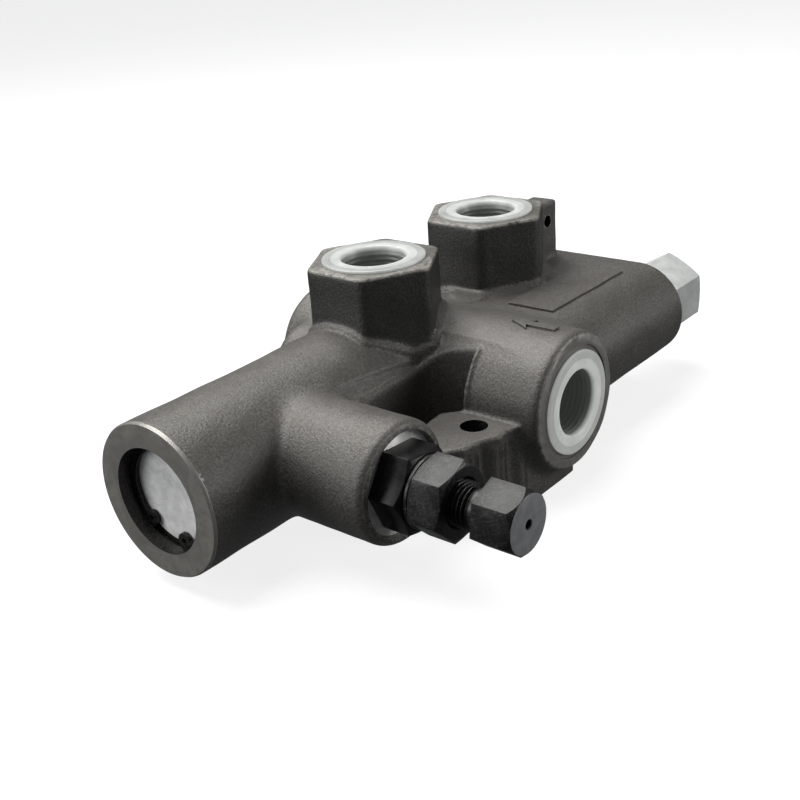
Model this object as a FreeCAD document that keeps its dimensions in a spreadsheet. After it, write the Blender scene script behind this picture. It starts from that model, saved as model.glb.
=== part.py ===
import FreeCAD, Part
import math
import os
import re

import Sketcher

# Hydraulic monoblock valve: one sand-cast body with a spool, a check poppet and an adjustable
# relief cartridge inside it, and plastic shipping plugs in its four ports.
# The origin is the centre of the two mounting holes on the bottom face, +X runs away from the
# round nose along the main bore, and the relief cartridge and the side port look along -Y.

Vector = FreeCAD.Vector
Rotation = FreeCAD.Rotation

doc = FreeCAD.newDocument("monoblock_valve")
sheet = doc.addObject("Spreadsheet::Sheet", "sizes")

driving_dimensions = {
    # main barrel and its end
    "axis_height": 30, "nose_reach": 89.25, "barrel_radius": 25, "barrel_length": 118,
    "closure_bore_radius": 17.15, "closure_bore_depth": 15.6, "chamber_radius": 15.5,
    "chamber_length": 38, "spool_bore_radius": 12.5, "spool_bore_end": 98.5, "nose_chamfer": 1,
    # ports
    "near_port_at": 15.25, "far_port_at": 81.15, "side_port_at": 32, "hex_flats": 42,
    "hex_top": 74.7, "hex_corner_radius": 2, "port_boss_radius": 24, "side_face": 69, "back_face": 44,
    "port_thread_radius": 12.1, "port_thread_depth": 18, "passage_radius": 9, "annulus_radius": 16,
    "annulus_width": 10, "port_rim": 2.5,
    # second barrel with the check poppet
    "block_half_height": 18.75, "block_start": 22, "block_end": 121.75, "check_offset": 43.8,
    "check_seat_at": 54, "check_seat_radius": 6.5, "check_bore_radius": 9, "check_bore_end": 107,
    "cap_thread_radius": 10, "cross_gallery_radius": 6,
    # relief boss and cartridge, measured outwards from the main axis
    "relief_at": 42.25, "relief_boss_radius": 19.5, "relief_face": 56, "recess_radius": 16.5,
    "spot_face": 53.5, "cartridge_thread_radius": 11, "cartridge_thread_start": 34,
    "cartridge_nose_radius": 8.5, "cartridge_nose_start": 24.5, "relief_passage_radius": 3.5,
    "cartridge_flats": 24, "cartridge_hex_end": 64.2, "cavity_radius": 6.2, "screw_thread_radius": 7,
    "washer_thickness": 1.3, "nut_flats": 22, "nut_height": 11.5, "thread_exposed": 9,
    "head_flats": 18, "head_height": 13, "centre_hole_radius": 1.3,
    # feet, pads and small cast details
    "hole_offset": 50.5, "hole_radius": 4.6, "pad_top": 30, "foot_left": 20, "foot_right": 40,
    "foot_front": 63.8, "foot_back": 60, "pocket_floor": 14, "lug_start": 100, "lug_end": 114.25,
    "lug_width": 11, "lug_top": 72.5, "lug_hole_radius": 2.3, "back_boss_radius": 17,
    "back_boss_at": 10.75, "back_boss_face": 36, "raised": 0.8, "lug_hole_at": 107.5,
    "lug_hole_height": 65, "panel_start": 58.25, "panel_end": 108.25, "panel_near": 27,
    "panel_far": 44.5, "arrow_tip": 44.6, "arrow_barb": 52.4, "arrow_neck": 51.2, "arrow_tail": 62,
    # shipping plugs
    "flange_radius": 17.8, "flange_thickness": 1, "plug_wall_radius": 12, "plug_hollow_radius": 11.1,
    "plug_depth": 14, "plug_floor": 1.5,
    # common
    "fit_gap": 0.05, "corner_per_flat": 0.57735027,
}
for row, (alias, value) in enumerate(driving_dimensions.items(), start=1):
    sheet.set(f"A{row}", alias)
    sheet.set(f"B{row}", str(value))
    sheet.setAlias(f"B{row}", alias)
doc.recompute()


def formula(text):
    """Turn aliases in a plain sum into references to the sheet."""
    return re.sub(r"[a-z][a-z_]+", lambda word: "sizes." + word.group(0), str(text))


def number(text):
    """Work out a sum of aliases with the sheet's present values."""
    return float(sheet.evalExpression(formula(text)))


def bind(item, **sizes):
    for name, text in sizes.items():
        item.setExpression(name, formula(text))


TURN = {
    "+X": Rotation(Vector(0, 1, 0), 90),
    "-X": Rotation(Vector(0, 1, 0), -90),
    "+Y": Rotation(Vector(1, 0, 0), -90),
    "-Y": Rotation(Vector(1, 0, 0), 90),
    "+Z": Rotation(),
}


def place(item, at, along="+Z", spin=0):
    """Put an item whose own axis is Z at a point, with that axis along a row axis."""
    item.Placement = FreeCAD.Placement(Vector(), TURN[along] * Rotation(Vector(0, 0, 1), spin))
    for letter, text in zip("xyz", at):
        item.setExpression("Placement.Base." + letter, formula(text))


def cylinder(name, radius, length, at, along):
    item = doc.addObject("Part::Cylinder", name)
    bind(item, Radius=radius, Height=length)
    place(item, at, along)
    return item


def cone(name, start_radius, end_radius, length, at, along):
    item = doc.addObject("Part::Cone", name)
    bind(item, Radius1=start_radius, Radius2=end_radius, Height=length)
    place(item, at, along)
    return item


def box(name, length, width, height, at):
    item = doc.addObject("Part::Box", name)
    bind(item, Length=length, Width=width, Height=height)
    place(item, at)
    return item


def hexagon(name, flats, length, at, along, spin):
    item = doc.addObject("Part::Prism", name)
    item.Polygon = 6
    bind(item, Circumradius=f"({flats}) * corner_per_flat", Height=length)
    place(item, at, along, spin)
    return item


def join(name, pieces):
    item = doc.addObject("Part::MultiFuse", name)
    item.Shapes = pieces
    item.Refine = True
    return item


def cut(name, base, tools):
    item = doc.addObject("Part::Cut", name)
    item.Base = base
    item.Tool = tools[0] if len(tools) == 1 else join(name + "_tools", tools)
    return item


def common(name, pieces):
    item = doc.addObject("Part::MultiCommon", name)
    item.Shapes = pieces
    return item


def round_edges(name, base, radius, choose):
    """Fillet the edges of a plain solid that the chooser accepts."""
    doc.recompute()
    item = doc.addObject("Part::Fillet", name)
    item.Base = base
    size = number(radius)
    item.Edges = [(i, size, size) for i, edge in enumerate(base.Shape.Edges, start=1) if choose(edge)]
    return item


def is_upright(edge):
    low, high = (vertex.Point for vertex in (edge.Vertexes[0], edge.Vertexes[-1]))
    return len(edge.Vertexes) == 2 and (low - high).cross(Vector(0, 0, 1)).Length < 1e-6


def origin_feature(body, role):
    return next(item for item in body.Origin.OriginFeatures if item.Role == role)


def outline_sketch(body, name, points):
    """A closed sketch of straight lines whose corners are tied to the sheet."""
    sketch = body.newObject("Sketcher::SketchObject", name)
    sketch.AttachmentSupport = [(origin_feature(body, "XY_Plane"), "")]
    sketch.MapMode = "FlatFace"
    places = [Vector(number(x), number(y), 0) for x, y in points]
    for i, start in enumerate(places):
        sketch.addGeometry(Part.LineSegment(start, places[(i + 1) % len(places)]), False)
    for i in range(len(points)):
        sketch.addConstraint(Sketcher.Constraint("Coincident", i, 2, (i + 1) % len(points), 1))
    for i, (x, y) in enumerate(points):
        for kind, axis, text in (("DistanceX", -2, x), ("DistanceY", -1, y)):
            if number(text) == 0:
                sketch.addConstraint(Sketcher.Constraint("PointOnObject", i, 1, axis))
                continue
            which = sketch.addConstraint(Sketcher.Constraint(kind, -1, 1, i, 1, number(text)))
            sketch.setExpression(f"Constraints[{which}]", formula(text))
    return sketch


def turned(name, profile, at, along):
    """A lathe-turned piece: profile points are (distance along the axis, radius)."""
    body = doc.addObject("PartDesign::Body", name)
    sketch = outline_sketch(body, name + "_profile", [(radius, length) for length, radius in profile])
    doc.recompute()
    turn = body.newObject("PartDesign::Revolution", name + "_turn")
    turn.Profile = sketch
    turn.ReferenceAxis = (sketch, ["V_Axis"])
    turn.Angle = 360
    body.Tip = turn
    upright = Rotation(Vector(1, 0, 0), 90)
    body.Placement = FreeCAD.Placement(Vector(), TURN[along] * upright)
    for letter, text in zip("xyz", at):
        body.setExpression("Placement.Base." + letter, formula(text))
    return body


def padded(name, outline, height):
    """A flat piece of the given outline, padded upwards from the bottom plane."""
    body = doc.addObject("PartDesign::Body", name)
    sketch = outline_sketch(body, name + "_outline", outline)
    doc.recompute()
    pad = body.newObject("PartDesign::Pad", name + "_pad")
    pad.Profile = sketch
    pad.setExpression("Length", formula(height))
    body.Tip = pad
    return body


def o_ring(name, ring_radius, cord_radius, at, along):
    item = doc.addObject("Part::Torus", name)
    bind(item, Radius1=ring_radius, Radius2=cord_radius)
    place(item, at, along)
    return item


def spring(name, coil_radius, wire_radius, length, turns, at, along):
    """A round-wire compression spring, swept along its helix."""
    helix = doc.addObject("Part::Helix", name + "_helix")
    bind(helix, Radius=coil_radius, Height=length, Pitch=f"({length}) / {turns}")
    wire = doc.addObject("Part::Circle", name + "_wire")
    bind(wire, Radius=wire_radius)
    wire.Placement = FreeCAD.Placement(Vector(), Rotation(Vector(1, 0, 0), 90))
    wire.setExpression("Placement.Base.x", formula(coil_radius))
    item = doc.addObject("Part::Sweep", name)
    item.Sections = [wire]
    item.Spine = (helix, [])
    item.Solid = True
    item.Frenet = True
    place(item, at, along)
    return item


NODES = {}


def node(name, item):
    item.Label = name
    NODES[name] = item
    return item


# The casting.
main_axis = ("0", "axis_height")
nose = ("-nose_reach",) + main_axis
chamfer_start = "barrel_radius - nose_chamfer"
cast = [
    cone("nose_edge", chamfer_start, "barrel_radius", "nose_chamfer", nose, "+X"),
    cylinder("main_barrel", "barrel_radius", "barrel_length - nose_chamfer",
             ("nose_chamfer - nose_reach",) + main_axis, "+X"),
    cylinder("bore_housing", "block_half_height", "block_end - block_start",
             ("block_start",) + main_axis, "+X"),
    cylinder("second_barrel", "block_half_height", "block_end - block_start",
             ("block_start", "-check_offset", "axis_height"), "+X"),
    box("block_web", "block_end - block_start", "check_offset", "2 * block_half_height",
        ("block_start", "-check_offset", "axis_height - block_half_height")),
    cylinder("side_boss", "port_boss_radius", "side_face - port_rim",
             ("side_port_at",) + main_axis, "-Y"),
    cone("side_rim", "port_boss_radius", "port_boss_radius - port_rim", "port_rim",
         ("side_port_at", "port_rim - side_face", "axis_height"), "-Y"),
    cylinder("back_port_boss", "port_boss_radius", "back_face - port_rim",
             ("side_port_at",) + main_axis, "+Y"),
    cone("back_rim", "port_boss_radius", "port_boss_radius - port_rim", "port_rim",
         ("side_port_at", "back_face - port_rim", "axis_height"), "+Y"),
    cylinder("back_boss", "back_boss_radius", "back_boss_face", ("back_boss_at",) + main_axis, "+Y"),
    cylinder("relief_boss", "relief_boss_radius", "relief_face - 2",
             ("-relief_at",) + main_axis, "-Y"),
    cone("relief_rim", "relief_boss_radius", "relief_boss_radius - 1.6", "2",
         ("-relief_at", "2 - relief_face", "axis_height"), "-Y"),
    box("lug", "lug_end - lug_start", "lug_width", "lug_top - axis_height",
        ("lug_start", "-lug_width", "axis_height")),
    box("name_panel", "panel_end - panel_start", "panel_far - panel_near", "block_half_height + raised",
        ("panel_start", "-panel_far", "axis_height")),
]
for which in ("near", "far"):
    prism = hexagon(which + "_hex_blank", "hex_flats", "hex_top - axis_height",
                    (which + "_port_at",) + main_axis, "+Z", 30)
    cast.append(round_edges(which + "_hex", prism, "hex_corner_radius", is_upright))

# The front pad carries a mounting hole beside the relief boss; the foot joins it to the side port.
front_pad = padded("front_pad", [
    ("-foot_left", "-44"), ("-12", "-37.5"), ("-4", "-35.3"), ("2.8", "-34.7"), ("8.9", "-40.5"),
    ("9.3", "-foot_front"), ("3", "-61.5"), ("-2", "-62"), ("-8", "-58.5"), ("-15", "-57.3"),
    ("-foot_left", "-52"),
], "pad_top")
back_pad = padded("back_pad", [
    ("-16", "20"), ("-14", "54"), ("-8", "foot_back"), ("8", "foot_back"), ("14", "54"), ("16", "20"),
], "pad_top - 4")
cast += [
    back_pad,
    box("under_barrel", "foot_left + foot_right", "50", "axis_height", ("-foot_left", "-25", "0")),
    box("under_side_port", "foot_right - 9", "foot_front", "axis_height", ("9", "-foot_front", "0")),
    box("pocket_base", "foot_left + 9", "30", "pocket_floor", ("-foot_left", "-50", "0")),
]

# A raised arrow on top of the side port's boss shows its flow direction, into the valve.
arrow = padded("flow_arrow", [
    ("side_port_at", "-arrow_tip"), ("side_port_at + 3.8", "-arrow_barb"),
    ("side_port_at + 1.6", "-arrow_neck"), ("side_port_at + 1.6", "-arrow_tail"),
    ("side_port_at - 1.6", "-arrow_tail"), ("side_port_at - 1.6", "-arrow_neck"),
    ("side_port_at - 3.8", "-arrow_barb"),
], "port_boss_radius + raised")
arrow.setExpression("Placement.Base.z", formula("axis_height"))
cast.append(arrow)

# A deep pocket between the barrel and the side port clears the front bolt; the pad stands in it.
pocket = padded("pocket", [
    ("-foot_left - 0.5", "-41"), ("-foot_left - 0.5", "-23.8"), ("5", "-23.7"), ("8", "-24.4"),
    ("10.4", "-25.6"), ("12.7", "-28.2"), ("14", "-31.5"), ("14.8", "-35"), ("15.8", "-41"),
], "hex_top")
pocket.setExpression("Placement.Base.z", formula("pocket_floor"))
rough_casting = join("rough_casting", [
    cut("pocketed_casting", join("cast_blank", cast), [pocket]),
    front_pad,
])


def port_cutters(name, at, along, deep_at, deep_length):
    """A threaded mouth and the plain passage behind it."""
    return [
        cylinder(name + "_mouth", "port_thread_radius", "port_thread_depth", at, along),
        cylinder(name + "_passage", "passage_radius", deep_length, deep_at, along),
    ]


ports_along_y = ("side_port_at",) + main_axis
cutters = [
    cylinder("closure_bore", "closure_bore_radius", "closure_bore_depth", nose, "+X"),
    cylinder("ring_groove", "closure_bore_radius + 1.2", "1.8", ("4.5 - nose_reach",) + main_axis, "+X"),
    cylinder("spring_chamber", "chamber_radius", "closure_bore_depth + chamber_length", nose, "+X"),
    cylinder("spool_bore", "spool_bore_radius", "nose_reach + spool_bore_end", nose, "+X"),
    cylinder("check_inlet", "check_seat_radius", "check_seat_at - side_port_at",
             ("side_port_at", "-check_offset", "axis_height"), "+X"),
    cylinder("check_bore", "check_bore_radius", "block_end - check_seat_at",
             ("check_seat_at", "-check_offset", "axis_height"), "+X"),
    cylinder("cap_thread", "cap_thread_radius", "block_end - check_bore_end",
             ("check_bore_end", "-check_offset", "axis_height"), "+X"),
    cylinder("cap_seal_recess", "12.4", "2.2",
             ("block_end - 2.2", "-check_offset", "axis_height"), "+X"),
    cylinder("cross_gallery", "cross_gallery_radius", "check_offset", ("far_port_at",) + main_axis, "-Y"),
    cylinder("relief_recess", "recess_radius", "relief_face - spot_face",
             ("-relief_at", "-spot_face", "axis_height"), "-Y"),
    cylinder("relief_thread", "cartridge_thread_radius", "spot_face - cartridge_thread_start",
             ("-relief_at", "-cartridge_thread_start", "axis_height"), "-Y"),
    cylinder("relief_nose_bore", "cartridge_nose_radius", "cartridge_thread_start - cartridge_nose_start",
             ("-relief_at", "-cartridge_nose_start", "axis_height"), "-Y"),
    cylinder("relief_passage", "relief_passage_radius", "cartridge_nose_start - 10",
             ("-relief_at", "-10", "axis_height"), "-Y"),
    cylinder("lug_hole", "lug_hole_radius", "lug_width + 2", ("lug_hole_at", "1", "lug_hole_height"), "-Y"),
    cylinder("front_hole", "hole_radius", "pad_top + 4", ("0", "-hole_offset", "-2"), "+Z"),
    cylinder("back_hole", "hole_radius", "pad_top + 4", ("0", "hole_offset", "-2"), "+Z"),
]
for which in ("near_port_at", "side_port_at", "far_port_at"):
    cutters.append(cylinder(which + "_annulus", "annulus_radius", "annulus_width",
                            (which + " - annulus_width / 2",) + main_axis, "+X"))
for which in ("near_port_at", "far_port_at"):
    cutters += port_cutters(which, (which, "0", "hex_top - port_thread_depth"), "+Z",
                            (which,) + main_axis, "hex_top - port_thread_depth - axis_height")
cutters += port_cutters("side_port", ("side_port_at", "port_thread_depth - side_face", "axis_height"),
                        "-Y", ports_along_y, "side_face - port_thread_depth")
cutters += port_cutters("back_port", ("side_port_at", "back_face - port_thread_depth", "axis_height"),
                        "+Y", ports_along_y, "back_face - port_thread_depth")
node("valve_body", cut("machined_casting", rough_casting, cutters))

# The closed end of the main bore.
plug_front = "6.4 - nose_reach"
node("end_plug", turned("end_plug_body", [
    ("0", "0"), ("0", "closure_bore_radius - fit_gap - 0.5"), ("0.5", "closure_bore_radius - fit_gap"),
    ("3", "closure_bore_radius - fit_gap"), ("3", "14.6"), ("5.8", "14.6"),
    ("5.8", "closure_bore_radius - fit_gap"), ("9.2", "closure_bore_radius - fit_gap"),
    ("9.2", "6"), ("11.5", "6"), ("11.5", "0"),
], (plug_front,) + main_axis, "+X"))
node("end_plug_o_ring", o_ring("end_plug_seal", "15.85", "1.2",
                               ("10.8 - nose_reach",) + main_axis, "+X"))

# The internal retaining ring: an open ring with two pierced ears beside its gap.
ring_at = ("4.7 - nose_reach",) + main_axis
ring_thickness = "1.4"
ring_gap_angle = math.radians(-75.5)
ring_ear_angle = math.radians(28.5)
ear_reach = 15
ear_radius = 2.4
ear_hole_radius = 0.9
gap_reach = 16
gap_width = 11.5
ring_blank = cut("ring_blank", cylinder("ring_outside", "closure_bore_radius + 1", ring_thickness,
                                        ring_at, "+X"),
                 [cylinder("ring_inside", "closure_bore_radius - 1.6", ring_thickness, ring_at, "+X")])
ears = []
ear_holes = []
for which, angle in enumerate((ring_gap_angle - ring_ear_angle, ring_gap_angle + ring_ear_angle)):
    for items, name, radius in ((ears, "ear", ear_radius), (ear_holes, "ear_hole", ear_hole_radius)):
        across = f"{ear_reach * math.cos(angle):.4f}"
        up = f"axis_height + {ear_reach * math.sin(angle):.4f}"
        items.append(cylinder(f"{name}_{which}", str(radius), ring_thickness,
                              (ring_at[0], across, up), "+X"))
gap_start = f"{gap_reach * math.cos(ring_gap_angle) - gap_width / 2:.4f}"
gap = box("ring_gap", ring_thickness, str(gap_width), "9.2", (ring_at[0], gap_start, "axis_height - 22"))
node("retaining_ring", cut("retaining_ring_shape", join("ring_with_ears", [ring_blank] + ears),
                           ear_holes + [gap]))

# The main spool and its spring.
spool_start = "-38"
land = "spool_bore_radius - fit_gap"
spool_profile = [("0", "0"), ("0", "7"), ("2", "7"), ("2", land)]
for start, end in (("46", "60"), ("84", "108")):
    spool_profile += [(start, land), (start, "8"), (end, "8"), (end, land)]
spool_profile += [("134.5", land), ("134.5", "5"), ("136.5", "5"), ("136.5", "0")]
node("main_spool", turned("main_spool_body", spool_profile, (spool_start,) + main_axis, "+X"))
node("spring_seat", turned("spring_seat_body", [
    ("0", "7.1"), ("0", "11.5"), ("1.9", "11.5"), ("1.9", "7.1"),
], (spool_start,) + main_axis, "+X"))
node("spool_spring", spring("spool_spring_shape", "9.3", "1.2", "31.5", 7,
                            ("-72.2",) + main_axis, "+X"))

# The check poppet and its cap.
check_axis = ("-check_offset", "axis_height")
poppet_body = turned("check_poppet_blank", [
    ("0", "4.6"), ("3.4", "check_bore_radius - 0.9"), ("5", "check_bore_radius - fit_gap"),
    ("22", "check_bore_radius - fit_gap"), ("22", "6.8"), ("10", "6.8"), ("10", "0"), ("0", "0"),
], ("check_seat_at - 1.2",) + check_axis, "+X")
cross_holes = [
    cylinder(f"cross_hole_{i}", "1.8", "12",
             ("check_seat_at + 12",) + check_axis, along)
    for i, along in enumerate(("+Y", "-Y"))
]
node("check_poppet", cut("check_poppet_shape", poppet_body, cross_holes))
node("check_spring", spring("check_spring_shape", "5.4", "0.8", "36", 7,
                            ("check_seat_at + 10",) + check_axis, "+X"))
cap_blank = turned("cap_shank", [
    ("0", "0"), ("0", "8.9"), ("8", "8.9"), ("8", "cap_thread_radius - fit_gap"),
    ("block_end - 101", "cap_thread_radius - fit_gap"), ("block_end - 101", "0"),
], ("101",) + check_axis, "+X")
cap_hex = hexagon("cap_hex_blank", "27", "26.5", ("block_end",) + check_axis, "+X", 0)
cap_round = cone("cap_end_chamfer", "33", "14.2", "28", ("block_end - 1.5",) + check_axis, "+X")
node("check_cap", join("check_cap_shape", [cap_blank, common("cap_head", [cap_hex, cap_round])]))
node("check_cap_o_ring", o_ring("check_cap_seal", "11.2", "1",
                                ("block_end - 1.1",) + check_axis, "+X"))


# The relief cartridge.
def relief_at(distance):
    """A point on the relief axis, given by its distance outwards from the main axis."""
    return ("-relief_at", f"-({distance})", "axis_height")


hex_start = "spot_face"
cartridge_outside = join("cartridge_outside", [
    turned("cartridge_turned", [
        ("0", "0"), ("0", "7.4"), ("1", "cartridge_nose_radius - fit_gap"),
        ("9.6", "cartridge_nose_radius - fit_gap"), ("9.6", "cartridge_thread_radius - fit_gap"),
        ("spot_face - cartridge_nose_start", "cartridge_thread_radius - fit_gap"),
        ("spot_face - cartridge_nose_start", "0"),
    ], relief_at("cartridge_nose_start"), "-Y"),
    common("cartridge_head", [
        hexagon("cartridge_hex_blank", "cartridge_flats", "cartridge_hex_end - spot_face",
                relief_at(hex_start), "-Y", 55),
        cone("cartridge_chamfer", "23", "11.9", "cartridge_hex_end - spot_face",
             relief_at(hex_start), "-Y"),
    ]),
])
node("relief_cartridge", cut("relief_cartridge_shape", cartridge_outside, [
    cylinder("cartridge_cavity", "cavity_radius", "50 - cartridge_nose_start",
             relief_at("cartridge_nose_start"), "-Y"),
    cylinder("cartridge_screw_thread", "screw_thread_radius + fit_gap", "cartridge_hex_end - 50",
             relief_at("50"), "-Y"),
    o_ring("cartridge_ring_groove", "10.15", "0.95", relief_at("51.5"), "-Y"),
]))
node("cartridge_o_ring", o_ring("cartridge_seal", "10.1", "0.85", relief_at("51.5"), "-Y"))
node("relief_seat", turned("relief_seat_body", [
    ("0", "2"), ("0", "cavity_radius - fit_gap"), ("6.4", "cavity_radius - fit_gap"), ("6.4", "2"),
], relief_at("cartridge_nose_start"), "-Y"))
node("relief_poppet", turned("relief_poppet_body", [
    ("0", "0"), ("0", "1.1"), ("2.4", "3.1"), ("2.4", "5.2"), ("4.2", "5.2"), ("4.2", "2.2"),
    ("5.8", "2.2"), ("5.8", "0"),
], relief_at("30"), "-Y"))
node("relief_spring", spring("relief_spring_shape", "4", "0.6", "11.3", 5, relief_at("34.9"), "-Y"))
node("spring_button", turned("spring_button_body", [
    ("0", "0"), ("0", "cavity_radius - 0.2"), ("3", "cavity_radius - 0.2"), ("3", "0"),
], relief_at("47"), "-Y"))

nut_start = "cartridge_hex_end + washer_thickness"
head_start = f"{nut_start} + nut_height + thread_exposed"
screw_blank = turned("screw_shank", [
    ("0", "0"), ("0", "5.9"), ("1.6", "5.9"), ("1.6", "4.5"), ("3.6", "4.5"), ("3.6", "5.9"),
    ("6", "5.9"), ("6.6", "screw_thread_radius"),
    (f"{head_start} - 52", "screw_thread_radius"),
    (f"{head_start} - 52", "6.2"),
    (f"{head_start} - 50", "6.2"), (f"{head_start} - 50", "0"),
], relief_at("50"), "-Y")
screw_head = common("screw_head", [
    hexagon("screw_hex_blank", "head_flats", "head_height", relief_at(head_start), "-Y", 20.4),
    cone("screw_chamfer", "21.6", "8.6", "head_height", relief_at(head_start), "-Y"),
])
node("adjusting_screw", cut("adjusting_screw_shape", join("screw_solid", [screw_blank, screw_head]), [
    cylinder("screw_centre_hole", "centre_hole_radius", "3",
             relief_at(f"{head_start} + head_height - 3"), "-Y"),
]))
node("screw_o_ring", o_ring("screw_seal", "5.3", "0.8", relief_at("52.6"), "-Y"))
node("lock_washer", turned("lock_washer_body", [
    ("0", "7.4"), ("0", "11.3"), ("washer_thickness", "11.3"), ("washer_thickness", "7.4"),
], relief_at("cartridge_hex_end"), "-Y"))
nut_blank = common("nut_solid", [
    hexagon("nut_hex_blank", "nut_flats", "nut_height", relief_at(nut_start), "-Y", 15.3),
    cone("nut_front_chamfer", "24.5", "10.9", "nut_height", relief_at(nut_start), "-Y"),
    cone("nut_rear_chamfer", "10.9", "24.5", "nut_height", relief_at(nut_start), "-Y"),
])
node("lock_nut", cut("lock_nut_shape", nut_blank, [
    cylinder("nut_thread", "screw_thread_radius + fit_gap", "nut_height", relief_at(nut_start), "-Y"),
]))

# Shipping plugs in the ports.
plug_profile = [
    ("0", "0"), ("0", "plug_wall_radius - 0.6"), ("2", "plug_wall_radius"),
    ("plug_depth", "plug_wall_radius"), ("plug_depth", "flange_radius"), ("plug_depth + flange_thickness", "flange_radius"),
    ("plug_depth + flange_thickness", "plug_hollow_radius"), ("plug_floor", "plug_hollow_radius"),
    ("plug_floor", "0"),
]
plug_places = {
    "near_port_plug": (("near_port_at", "0", "hex_top - plug_depth"), "+Z"),
    "far_port_plug": (("far_port_at", "0", "hex_top - plug_depth"), "+Z"),
    "side_port_plug": (("side_port_at", "plug_depth - side_face", "axis_height"), "-Y"),
    "back_port_plug": (("side_port_at", "back_face - plug_depth", "axis_height"), "+Y"),
}
for name, (at, along) in plug_places.items():
    node(name, turned(name + "_body", plug_profile, at, along))

# Checks and export.
doc.recompute()
failed = [item.Name for item in doc.Objects if {"Invalid", "Error"} & set(item.State)]
if failed:
    raise RuntimeError(f"objects failed to build: {failed}")
os.makedirs("parts", exist_ok=True)
for name, item in NODES.items():
    shape = item.Shape
    if shape.isNull() or not shape.isValid() or len(shape.Solids) != 1:
        raise RuntimeError(f"{name} is not one valid solid: {len(shape.Solids)} solids")
    print(f"{name:20s} {shape.Volume:10.1f} mm3  {shape.BoundBox}")
for name, item in NODES.items():
    item.Shape.exportStep(f"parts/{name}.step")
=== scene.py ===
# Hydraulic monoblock valve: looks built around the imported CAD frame
import math
import bmesh
import bpy
import numpy as np
import openvdb
from mathutils import Matrix, Vector


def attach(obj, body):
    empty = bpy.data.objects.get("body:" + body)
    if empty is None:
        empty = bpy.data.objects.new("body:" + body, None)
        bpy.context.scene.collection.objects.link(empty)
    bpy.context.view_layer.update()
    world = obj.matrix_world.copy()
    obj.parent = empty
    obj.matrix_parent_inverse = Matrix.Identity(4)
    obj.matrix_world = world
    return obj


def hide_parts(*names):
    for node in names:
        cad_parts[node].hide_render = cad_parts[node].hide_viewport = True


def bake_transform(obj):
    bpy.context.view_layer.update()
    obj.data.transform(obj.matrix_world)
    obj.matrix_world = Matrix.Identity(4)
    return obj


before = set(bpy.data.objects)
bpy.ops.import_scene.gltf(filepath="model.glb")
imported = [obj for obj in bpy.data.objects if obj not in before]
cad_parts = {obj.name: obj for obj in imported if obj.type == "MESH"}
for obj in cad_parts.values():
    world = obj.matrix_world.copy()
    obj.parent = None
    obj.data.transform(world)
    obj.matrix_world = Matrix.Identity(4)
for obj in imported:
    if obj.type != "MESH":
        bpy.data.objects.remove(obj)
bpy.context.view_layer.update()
mm = 0.001
print("frame loaded")


# mesh helpers, all sizes in mm
def makeObject(name, verts, faces):
    mesh = bpy.data.meshes.new(name)
    mesh.from_pydata(verts, [], faces)
    mesh.update()
    piece = bpy.data.objects.new(name, mesh)
    bpy.context.scene.collection.objects.link(piece)
    return piece


def axisMatrix(at, along, spin=0.0):
    # local Z becomes the given row axis, and local X is turned by spin degrees about it
    turns = {
        "+X": Matrix.Rotation(math.pi / 2, 4, "Y"),
        "+Y": Matrix.Rotation(-math.pi / 2, 4, "X"),
        "-Y": Matrix.Rotation(math.pi / 2, 4, "X"),
        "+Z": Matrix.Identity(4),
    }
    return Matrix.Translation(Vector(at) * mm) @ turns[along] @ Matrix.Rotation(math.radians(spin), 4, "Z")


def placeMesh(piece, at, along, spin=0.0):
    piece.data.transform(axisMatrix(at, along, spin))
    return piece


def softProfile(points, radius, steps=3):
    # every corner away from the axis becomes a small arc
    soft = []
    for i, (r, z) in enumerate(points):
        if i in (0, len(points) - 1) or r == 0:
            soft.append((r, z))
            continue
        here = Vector((r, z))
        before = Vector(points[i - 1]) - here
        after = Vector(points[i + 1]) - here
        reach = min(radius, before.length * 0.45, after.length * 0.45)
        start, end = here + before.normalized() * reach, here + after.normalized() * reach
        for step in range(steps + 1):
            t = step / steps
            soft.append(tuple(start * (1 - t) ** 2 + here * 2 * t * (1 - t) + end * t ** 2))
    return soft


def turnedPiece(name, points, radius=0.25, segments=96):
    # lathe work: points are (radius, height) in mm, a closed loop or ending on the axis
    closed = points[0][0] > 0
    if closed:
        ringPoints = softProfile([points[-1]] + points + [points[0]], radius)[1:-1]
    else:
        ringPoints = softProfile(points, radius)
    mesh = bmesh.new()
    rows = []
    for r, z in ringPoints:
        if r < 1e-6:
            rows.append([mesh.verts.new((0, 0, z * mm))])
            continue
        rows.append([
            mesh.verts.new((r * mm * math.cos(a), r * mm * math.sin(a), z * mm))
            for a in (2 * math.pi * k / segments for k in range(segments))
        ])
    pairs = list(zip(rows, rows[1:]))
    if closed:
        pairs.append((rows[-1], rows[0]))
    for low, high in pairs:
        for k in range(segments):
            n = (k + 1) % segments
            corner = [low[k % len(low)], low[n % len(low)], high[n % len(high)], high[k % len(high)]]
            corner = list(dict.fromkeys(corner))
            if len(corner) > 2:
                mesh.faces.new(corner)
    bmesh.ops.remove_doubles(mesh, verts=mesh.verts, dist=1e-7)
    bmesh.ops.recalc_face_normals(mesh, faces=mesh.faces)
    piece = makeObject(name, [], [])
    mesh.to_mesh(piece.data)
    mesh.free()
    return piece


def prismPiece(name, outline, low, high):
    # an upright prism over a flat outline, in mm
    count = len(outline)
    verts = [(x * mm, y * mm, z * mm) for z in (low, high) for x, y in outline]
    faces = [tuple(reversed(range(count))), tuple(range(count, 2 * count))]
    faces += [(i, (i + 1) % count, (i + 1) % count + count, i + count) for i in range(count)]
    return makeObject(name, verts, faces)


def hexOutline(flats):
    corner = flats / math.sqrt(3)
    return [(corner * math.cos(math.radians(60 * k)), corner * math.sin(math.radians(60 * k))) for k in range(6)]


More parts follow.
